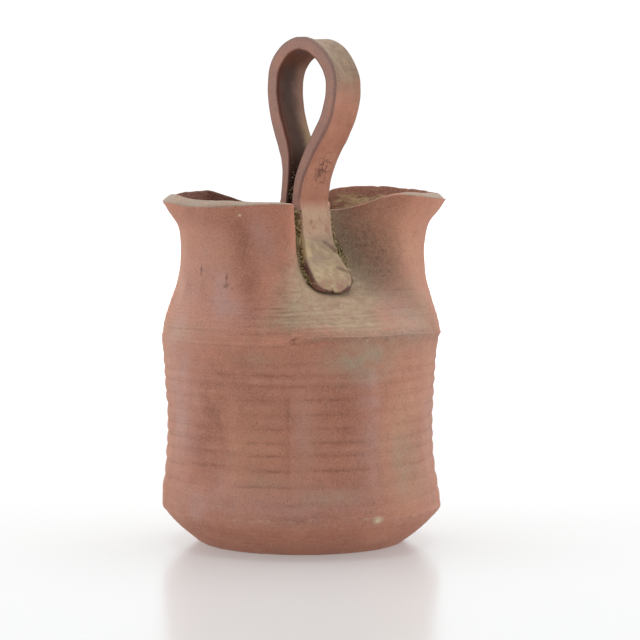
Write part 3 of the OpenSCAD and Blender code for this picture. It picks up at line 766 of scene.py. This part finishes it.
# ---------------------------------------------------------------- materials
class Nodes:
    """Small helper for building a material's nodes. Lengths are millimetres, colours screen values."""

    def __init__(self, name):
        self.material = bpy.data.materials.new(name)
        self.material.use_nodes = True
        self.tree = self.material.node_tree
        self.tree.nodes.clear()
        self.out = self.node("OutputMaterial")
        scale = self.node("VectorMath")
        scale.operation = "SCALE"
        scale.inputs[3].default_value = 1 / MM
        self.put(scale.inputs[0], self.node("TexCoord").outputs["Object"])
        self.mm = scale.outputs[0]
        self.x, self.y, self.z = self.node("SeparateXYZ", Vector=self.mm).outputs

    def node(self, kind, **inputs):
        """A new node, with some of its inputs set."""
        n = self.tree.nodes.new("ShaderNode" + kind)
        for key, value in inputs.items():
            self.put(n.inputs[key], value)
        return n

    def put(self, socket, value):
        """Set a socket to a number or a screen colour, or link it to another socket."""
        if isinstance(value, tuple):
            socket.default_value = srgb(*value)
        elif isinstance(value, (int, float)):
            socket.default_value = value
        else:
            self.tree.links.new(value, socket)

    def math(self, operation, a, b=0.0, clamp=False):
        n = self.node("Math")
        n.operation = operation
        n.use_clamp = clamp
        self.put(n.inputs[0], a)
        self.put(n.inputs[1], b)
        return n.outputs[0]

    def mul(self, first, *others):
        for other in others:
            first = self.math("MULTIPLY", first, other)
        return first

    def add(self, first, *others):
        for other in others:
            first = self.math("ADD", first, other)
        return first

    def sub(self, a, b):
        return self.math("SUBTRACT", a, b)

    def noise(self, size, detail, rough, stretch=None, offset=0.0):
        """Noise about size mm across; it is finer along an axis whose stretch is above 1."""
        place = self.mm
        if stretch or offset:
            m = self.node("Mapping", Vector=self.mm)
            m.inputs["Scale"].default_value = stretch or (1, 1, 1)
            m.inputs["Location"].default_value = (offset, offset * 0.7, offset * 1.3)
            place = m.outputs[0]
        n = self.node("TexNoise", Vector=place, Scale=1.0 / size, Detail=detail, Roughness=rough)
        return n.outputs[0]

    def ramp(self, value, low, high, a=0.0, b=1.0, smooth=True):
        """From a where the value is low to b where it is high."""
        n = self.node("MapRange")
        n.interpolation_type = "SMOOTHSTEP" if smooth else "LINEAR"
        for socket, given in zip(n.inputs, (value, low, high, a, b)):
            self.put(socket, given)
        return n.outputs[0]

    def mix(self, share, a, b):
        n = self.node("Mix")
        n.data_type = "RGBA"
        for key, given in ((0, share), (6, a), (7, b)):
            self.put(n.inputs[key], given)
        return n.outputs[2]

    def lay(self, colour, new, *shares):
        """Lay a new colour over another, as strongly as the product of the shares."""
        return self.mix(self.mul(*shares), colour, new)

    def coat(self, new, *shares):
        """Lay a new colour over the surface as it is so far."""
        self.colour = self.lay(self.colour, new, *shares)

    def band(self, foot, low, high, top):
        """1 between the heights low and high, falling to 0 at foot and at top."""
        return self.mul(self.ramp(self.z, top, high), self.ramp(self.z, foot, low))

    def field(self, name):
        """A soft field that the mesh carries."""
        n = self.node("Attribute")
        n.attribute_name = name
        return n.outputs["Fac"]

    def tint(self, name, new, share, size, offset):
        """Coat the surface where a field is strong, broken up by noise."""
        patchy = self.ramp(self.noise(size, 4, 0.62, offset=offset), 0.30, 0.62, 0.35, 1.0)
        self.coat(new, self.math("MULTIPLY", self.mul(self.field(name), patchy), share, clamp=True))

    def spot(self, x, y, z, wide, tall):
        """1 at a place on the pot, falling to 0 about wide mm away sideways and tall mm up and down."""
        away = []
        for axis, at, size in ((self.x, x, wide), (self.y, y, wide), (self.z, z, tall)):
            off = self.math("DIVIDE", self.sub(axis, at), size)
            away.append(self.mul(off, off))
        return self.ramp(self.math("SQRT", self.add(*away)), 1.0, 0.0)

    def grit(self, size, pale_share, dark_share):
        """Coat the surface with sparse pale and dark grains, and give their two masks."""
        grains = self.node("TexVoronoi", Scale=1.0 / size, Vector=self.mm)
        pick = self.node("SeparateColor", Color=grains.outputs["Color"])
        distance = grains.outputs["Distance"]
        pale = self.mul(self.ramp(distance, 0.11, 0.05), self.ramp(pick.outputs[0], 0.87, 0.9))
        dark = self.mul(self.ramp(distance, 0.14, 0.06), self.ramp(pick.outputs[1], 0.76, 0.8))
        self.coat((220, 196, 170), pale, pale_share)
        self.coat((88, 58, 48), dark, dark_share)
        return pale, dark

    def crack_web(self, size, bend):
        """Distance from the lines of a bent net whose cells are about size mm across."""
        curl = self.node("TexNoise", Scale=1.0 / bend, Vector=self.mm)
        warp = self.node("VectorMath")
        self.put(warp.inputs[0], self.mm)
        self.put(warp.inputs[1], curl.outputs["Color"])
        web = self.node("TexVoronoi", Scale=1.0 / size, Vector=warp.outputs[0])
        web.feature = "DISTANCE_TO_EDGE"
        return web.outputs["Distance"]

    def finish(self, roughness, height, strength, specular):
        bump = self.node("Bump", Strength=strength, Distance=MM, Height=height)
        b = self.node("BsdfPrincipled", Roughness=roughness, Normal=bump.outputs[0])
        self.put(b.inputs["Base Color"], self.colour)
        self.put(b.inputs["Specular IOR Level"], specular)
        self.put(self.out.inputs[0], b.outputs[0])
        return self.material


def srgb(r, g, b):
    """A colour as seen on a screen, from 0 to 255, in the linear values that a socket takes."""
    shares = (c / 255 for c in (r, g, b))
    return (*(c / 12.92 if c <= 0.04045 else ((c + 0.055) / 1.055) ** 2.4 for c in shares), 1.0)


def around(psi, radius=MEAN_R):
    """A point on the pot's side at an angle from the camera side."""
    t = np.radians(FRONT - psi)
    return radius * np.cos(t), -radius * np.sin(t)


# single marks on the clay: x, y, z and size of pale chips; x, y, z, half width and half height of scratches
PALE_MARKS = (
    (*around(32.0, 49.6), 13.2, 2.3), (*around(21.5, 48.6), 45.4, 0.6), (*around(26.8, 50.0), 75.4, 0.7),
    (-38.5, -21.5, 118.2, 0.8), (-39.0, -21.0, 116.8, 0.5), (-29.0, -27.6, 96.6, 0.9),
    (15.6, -38.6, 84.0, 0.6), (-38.6, -26.0, 83.0, 0.6), (-33.0, -33.2, 81.5, 0.5),
)
SCRATCHES = (
    (-45.2, -6.8, 98.8, 0.9, 3.0), (-41.2, -17.2, 97.0, 0.8, 3.0), (-41.8, -17.6, 94.0, 1.7, 1.7),
    (-43.2, -12.0, 96.0, 0.6, 2.0), (-40.0, -19.5, 92.8, 1.4, 1.0), (*around(50.5, 47.0), 11.6, 0.5, 2.6),
    (*around(44.0, 48.0), 10.8, 0.5, 2.0),
)


def clay_material():
    n = Nodes("unglazed_clay")
    big = n.noise(26, 3, 0.5)
    mid = n.noise(7, 4, 0.6, offset=17)
    fine = n.noise(0.7, 3, 0.7)
    n.colour = n.mix(n.ramp(big, 0.35, 0.65), (186, 120, 96), (199, 133, 108))
    n.coat((164, 104, 85), n.ramp(mid, 0.42, 0.72, 0, 0.4))
    streak = n.noise(9, 4, 0.6, stretch=(0.5, 0.5, 4.5), offset=5)
    n.coat((192, 132, 111), n.ramp(streak, 0.5, 0.75, 0, 0.35))
    # peach patches, with painted light over the front of the belly
    n.tint("peach", (203, 147, 118), 0.75, 12, 51)
    n.tint("scorch", (142, 85, 67), 0.75, 6, 77)
    # mauve in the clay, with painted highlights on two ridges of the belly
    n.tint("mauve", (186, 141, 131), 0.75, 7, 31)
    n.tint("tan", (176, 154, 131), 0.9, 5, 3)
    # on the right flank of each pinch a smoky grey that is also painted shade of the valley, then ash over it
    cloud = n.sub(n.noise(11, 6, 0.62, offset=9), 0.5)
    dapple = n.mul(n.sub(n.noise(2.4, 4, 0.7, offset=19), 0.5), 0.8)
    smoke_and_shade = n.add(n.field("smoke_and_shade"), n.add(n.mul(cloud, 0.7), dapple))
    smoke_and_shade = n.ramp(smoke_and_shade, 0.05, 0.95, smooth=False)
    brush = n.noise(1.7, 5, 0.75, stretch=(0.9, 0.9, 1.1), offset=23)
    grey = n.mix(n.ramp(brush, 0.38, 0.6), (95, 81, 70), (143, 124, 106))
    n.coat(grey, smoke_and_shade, 0.9)
    ash = n.ramp(n.add(n.field("ash"), n.mul(cloud, 0.7)), 0.05, 0.95, smooth=False)
    dusty = n.noise(2.6, 5, 0.72, stretch=(0.55, 0.55, 1.7), offset=40)
    olive = n.mix(n.ramp(dusty, 0.36, 0.64), (158, 142, 116), (182, 169, 140))
    speck = n.ramp(n.noise(1.1, 4, 0.75, offset=60), 0.32, 0.6, 0.6, 1.0)
    n.coat(olive, ash, speck, 0.95)
    # the lip keeps a pale skin, the inside is darker: burnt on the left, dusty on the right
    skin = n.ramp(n.noise(8, 4, 0.6, offset=66), 0.25, 0.6, 0.7, 1.0)
    n.coat((165, 151, 134), n.field("lip"), skin)
    inner = n.ramp(n.field("inner"), 0.85, 1.0)
    dust = n.ramp(n.noise(5, 5, 0.7, stretch=(0.6, 0.6, 1.4), offset=71), 0.42, 0.6)
    right = n.mix(dust, (124, 84, 62), (180, 160, 114))
    right = n.lay(right, (126, 72, 56), n.ramp(n.z, 122.8, 124.2, 0, 0.85))
    inside = n.mix(n.ramp(n.x, -6, 10), (104, 62, 50), right)
    n.coat(inside, inner, 0.85)
    # dust and painted shade in the grooves, a painted highlight on the ridges, wear on the trimmed edge
    hollow = n.field("hollow")
    broken = n.ramp(n.noise(3.2, 4, 0.65, stretch=(1, 1, 0.5), offset=14), 0.36, 0.56, 0.15, 1.0)
    n.coat((108, 68, 55), n.ramp(hollow, 0.02, 0.26, 0, 0.26), broken)
    n.coat((208, 158, 138), n.ramp(hollow, -0.02, -0.16, 0, 0.2))
    # painted shade along the fingertip lines, the crease, the ribs and under the ledge
    line = n.mul(n.field("line"), broken, 0.46)
    n.coat((100, 62, 51), line)
    scuff = n.ramp(n.noise(6.0, 5, 0.7, offset=88), 0.48, 0.62)
    n.coat((206, 172, 152), n.field("arris"), scuff, 0.7)
    foot = n.mul(n.ramp(n.z, 1.6, 0.6), n.ramp(n.noise(3.0, 4, 0.7, offset=94), 0.52, 0.64))
    n.coat((214, 180, 160), foot, 0.6)
    # single marks: a pale stone in the chamfer with a dark spot round it, painted shade of its pit, pale
    # chips and scratches
    pit_shade = n.spot(*around(31.2, 49.6), 12.8, 2.6, 2.0)
    n.coat((104, 68, 56), pit_shade, 0.5)
    for x, y, z, size in PALE_MARKS:
        stone = n.spot(x, y, z, size * 1.3, size)
        stone = n.mul(stone, n.ramp(n.noise(0.8, 3, 0.7, offset=37), 0.34, 0.46))
        n.coat((234, 218, 182), stone, 0.95)
    ragged = n.ramp(n.noise(1.1, 4, 0.7, offset=29), 0.36, 0.48)
    for x, y, z, wide, tall in SCRATCHES:
        scratch = n.mul(n.spot(x, y, z, wide, tall), ragged)
        n.coat((92, 50, 42), scratch, 0.9)
    pale, dark = n.grit(2.6, 0.6, 0.42)
    n.coat((208, 162, 140), n.ramp(fine, 0.38, 0.66, 0, 0.3))
    n.coat((112, 72, 58), n.ramp(n.noise(0.5, 2, 0.6, offset=8), 0.52, 0.72, 0, 0.42))
    height = n.add(n.mul(fine, 0.13), n.mul(n.noise(2.2, 3, 0.6), 0.2))
    lines = n.noise(1.1, 3, 0.6, stretch=(0.1, 0.1, 1.6), offset=2)
    height = n.add(height, n.mul(lines, 0.2))
    height = n.sub(height, n.mul(dark, 0.12))
    height = n.add(height, n.mul(pale, 0.08))
    sheen = n.add(n.field("mauve"), n.mul(mid, 0.3))
    return n.finish(n.ramp(sheen, 0.0, 1.2, 0.74, 0.5), height, 0.55, 0.4)


def strap_material():
    n = Nodes("strap_clay_surface")
    big = n.noise(16, 4, 0.55, offset=4)
    fine = n.noise(0.6, 3, 0.7)
    n.colour = n.mix(n.ramp(big, 0.38, 0.62), (186, 124, 99), (199, 138, 113))
    n.coat((164, 106, 88), n.ramp(n.noise(5, 4, 0.6, offset=19), 0.5, 0.7, 0, 0.4))
    outer, across = n.field("outer"), n.field("across")
    face = n.ramp(outer, 0.2, 0.9)
    cloud = n.mul(n.sub(n.noise(5, 5, 0.68, offset=9), 0.5), 1.1)
    # ash on top of the loop and down on the tongues, rubbed off above the thumb print
    top = n.mul(n.ramp(n.z, 146, 177), face)
    worn = n.mul(n.band(109, 112, 115.5, 118), 0.4)
    foot = n.sub(n.ramp(n.z, 122, 116), worn)
    ash = n.ramp(n.add(n.math("MAXIMUM", top, foot), cloud), 0.12, 1.0)
    grain = n.ramp(n.noise(3, 4, 0.6, offset=40), 0.35, 0.65)
    olive = n.mix(grain, (166, 149, 116), (194, 182, 144))
    olive = n.lay(olive, n.mix(grain, (120, 108, 88), (144, 132, 108)), n.ramp(n.z, 140, 160))
    # a painted highlight along the left edge of each tongue's face
    edge = n.mul(n.ramp(across, -0.5, -0.8), n.band(96, 100, 108, 112))
    olive = n.lay(olive, (214, 202, 156), edge, 0.6)
    n.coat(olive, ash, 0.88)
    pale = n.band(107, 111, 119, 123)
    n.coat((214, 178, 150), pale, face, 0.7)
    # grey-mauve in the thumb's hollow
    hollow = n.band(97, 102, 107, 113)
    hollow = n.mul(hollow, n.ramp(n.noise(6, 4, 0.6, offset=25), 0.38, 0.6))
    n.coat((158, 136, 120), hollow, face, 0.7)
    rub = n.noise(1.8, 4, 0.6, stretch=(1, 1, 0.35), offset=83)
    rub = n.mul(n.ramp(rub, 0.54, 0.62), n.mul(worn, 2.0))
    n.coat((150, 92, 76), rub, 0.6)
    # the creases of the fold darkened with painted shade
    fold = n.mul(n.field("fold"), n.ramp(n.noise(2.0, 3, 0.6, offset=61), 0.32, 0.46, 0.4, 1.0))
    n.coat((84, 60, 52), fold, 0.85)
    # purple-grey sides, darkened with painted shade near the ends of the tongues
    side = n.field("side")
    patch = n.ramp(n.noise(6, 4, 0.6, offset=12), 0.25, 0.6, 0.55, 1.0)
    dusty_foot = n.band(99, 104, 109, 117)
    n.coat((144, 112, 104), side, patch, 0.78)
    n.coat(olive, side, dusty_foot, 0.8)
    tongue_end_shade = n.mul(side, n.ramp(n.z, 104, 99))
    tongue_end_shade = n.mul(tongue_end_shade, n.ramp(n.noise(3, 4, 0.6, offset=33), 0.3, 0.5, 0.5, 1.0))
    n.coat((90, 60, 60), tongue_end_shade, 0.9)
    # darker lines along the outer and inner arrises of the loop's sides: painted shade
    high = n.ramp(n.z, 118, 128)
    n.coat((122, 94, 92), n.field("rim_out"), high, 0.55)
    n.coat((134, 80, 66), n.field("rim_in"), high, 0.7)
    lip = n.mul(n.ramp(n.z, 96.5, 93.5), n.ramp(n.noise(2.5, 3, 0.6, offset=35), 0.35, 0.6))
    n.coat((164, 112, 100), lip, 0.7)
    # the inner face of the loop is sooty and darkened with painted shade, lightest along its far edge and
    # darkest low down
    inward = n.ramp(outer, -0.55, -0.9)
    shade = n.add(across, n.mul(cloud, 0.5))
    soot_and_shade = n.mix(n.ramp(shade, -0.9, -0.4), (92, 50, 36), (66, 40, 28))
    soot_and_shade = n.lay(soot_and_shade, (152, 114, 98), n.ramp(shade, -0.1, 0.9))
    soot_and_shade = n.lay(soot_and_shade, (116, 68, 46), n.ramp(n.z, 168, 174, 0, 0.7))
    low = n.mul(n.ramp(n.z, 157, 142), n.ramp(shade, 0.1, 1.0))
    soot_and_shade = n.lay(soot_and_shade, (164, 148, 98), low, 0.85)
    soot_and_shade = n.lay(soot_and_shade, (44, 27, 17), n.ramp(n.z, 142, 130, 0, 0.8))
    # darker along the groove beside each arris and along the arrises: painted shade
    bead = n.mul(n.field("bead"), n.ramp(n.noise(4, 4, 0.6, offset=44), 0.3, 0.55, 0.3, 1.0))
    n.coat((112, 78, 72), bead, 0.22)
    # a cluster of short drying cracks
    split = n.mul(n.ramp(n.crack_web(2.6, 1.4), 0.11, 0.03), n.field("crack"))
    split = n.mul(split, n.ramp(n.noise(0.9, 4, 0.7, offset=47), 0.4, 0.52))
    n.coat((70, 40, 34), split)
    _, dark = n.grit(2.0, 0.6, 0.6)
    n.coat((204, 160, 140), n.ramp(fine, 0.35, 0.68, 0, 0.22))
    n.coat((112, 76, 62), n.ramp(n.noise(0.5, 2, 0.6, offset=8), 0.55, 0.75, 0, 0.3))
    n.coat(soot_and_shade, inward, 0.95)
    height = n.add(n.mul(fine, 0.12), n.mul(n.noise(2.5, 3, 0.6), 0.14))
    height = n.sub(height, n.mul(dark, 0.14))
    height = n.sub(height, n.mul(split, 0.5))
    return n.finish(n.ramp(big, 0.2, 0.8, 0.55, 0.75), height, 0.55, 0.35)


def slip_material():
    n = Nodes("dry_slip_crumbs")
    n.colour = n.mix(n.ramp(n.noise(0.8, 3, 0.6), 0.38, 0.6), (146, 122, 86), (226, 212, 166))
    n.coat((110, 80, 58), n.ramp(n.noise(1.5, 3, 0.6, offset=3), 0.5, 0.62, 0, 0.8))
    return n.finish(0.95, n.noise(0.3, 3, 0.7), 0.6, 0.15)


slip = slip_material()
for piece, node, slot, material in (
    (body, "body", "clay", clay_material()),
    (strap, "strap_handle", "strap_clay", strap_material()),
    (front_slip, "front_slip", "slip", slip),
    (back_slip, "back_slip", "slip", slip),
):
    piece.data.materials.append(material)
    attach(piece, "root")
    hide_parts(node)

# ---------------------------------------------------------------- floor, light and camera
def soft_glow(tree, place, operation, along, reach, shine, socket):
    """Drive a socket by how far or which way a place lies: the two shines, over the two ends of reach."""
    coord = tree.nodes.new("ShaderNodeTexCoord")
    measure = tree.nodes.new("ShaderNodeVectorMath")
    measure.operation = operation
    measure.inputs[1].default_value = along
    fade = tree.nodes.new("ShaderNodeMapRange")
    fade.interpolation_type = "SMOOTHSTEP"
    for key, value in zip(("From Min", "From Max", "To Min", "To Max"), reach + shine):
        fade.inputs[key].default_value = value
    tree.links.new(coord.outputs[place], measure.inputs[0])
    tree.links.new(measure.outputs["Value"], fade.inputs["Value"])
    tree.links.new(fade.outputs[0], socket)


FLOOR_HALF = 4
corners = [(x * FLOOR_HALF, y * FLOOR_HALF, 0) for x, y in ((-1, -1), (1, -1), (1, 1), (-1, 1))]
floor_mesh = bpy.data.meshes.new("floor")
floor_mesh.from_pydata(corners, [], [(0, 1, 2, 3)])
floor = add_object("floor", floor_mesh)
floor.location.z = -0.2 * MM
pale = bpy.data.materials.new("pale_floor")
pale.use_nodes = True
surface = pale.node_tree.nodes["Principled BSDF"].inputs
surface["Base Color"].default_value = (0.47, 0.48, 0.48, 1)
surface["Roughness"].default_value = 0.22
surface["Specular IOR Level"].default_value = 0.4
surface["Emission Color"].default_value = (1, 1, 1, 1)
# the sweep of the floor glows a little more with distance, so that it ends in white
glow = surface["Emission Strength"]
soft_glow(pale.node_tree, "Object", "LENGTH", (0, 0, 0), (0.25, 1.2), (0.255, 0.95), glow)
floor.data.materials.append(pale)

SIDE = np.radians(FRONT - 90)  # turn of the camera about the pot


def studio(x, y, z):
    """A place given as right, away from the camera and up, in metres."""
    return Vector((x * np.cos(SIDE) + y * np.sin(SIDE), -x * np.sin(SIDE) + y * np.cos(SIDE), z))


world = bpy.data.worlds.new("studio")
world.use_nodes = True
backdrop = world.node_tree.nodes["Background"].inputs
backdrop[0].default_value = (1.0, 1.0, 1.0, 1)
# white behind the pot, grey behind the camera
away = studio(0, 1, 0)
soft_glow(world.node_tree, "Generated", "DOT_PRODUCT", away, (-0.75, 0.35), (0.36, 1.05), backdrop[1])
bpy.context.scene.world = world


def lamp(name, place, size, power):
    """A soft box that faces the middle of the pot."""
    data = bpy.data.lights.new(name, "AREA")
    data.shape = "RECTANGLE"
    data.size, data.size_y = size
    data.energy = power
    ob = add_object(name, data)
    ob.location = studio(*place)
    ob.rotation_euler = (studio(0, 0, 0.08) - ob.location).to_track_quat("-Z", "Y").to_euler()


lamp("left_box", (-0.75, -0.10, 0.35), (0.5, 0.8), 1.1)
lamp("right_box", (0.75, -0.10, 0.35), (0.5, 0.8), 1.0)
lamp("top_box", (0.0, 0.1, 0.9), (0.8, 0.8), 3.0)

CAMERA_BACK, CAMERA_UP = 0.9003, 0.14469  # metres from the pot's axis and above the table
CAMERA_DIP = 4.1485  # degrees below level
cam_data = bpy.data.cameras.new("camera")
cam_data.sensor_width = 36
cam_data.lens = 141.3225
cam_data.shift_x = 0.02890625
cam = add_object("camera", cam_data)
cam.location = studio(0, -CAMERA_BACK, CAMERA_UP)
cam.rotation_euler = (np.radians(90 - CAMERA_DIP), 0, -SIDE)
bpy.context.scene.camera = cam
bpy.context.scene.view_settings.view_transform = "Standard"
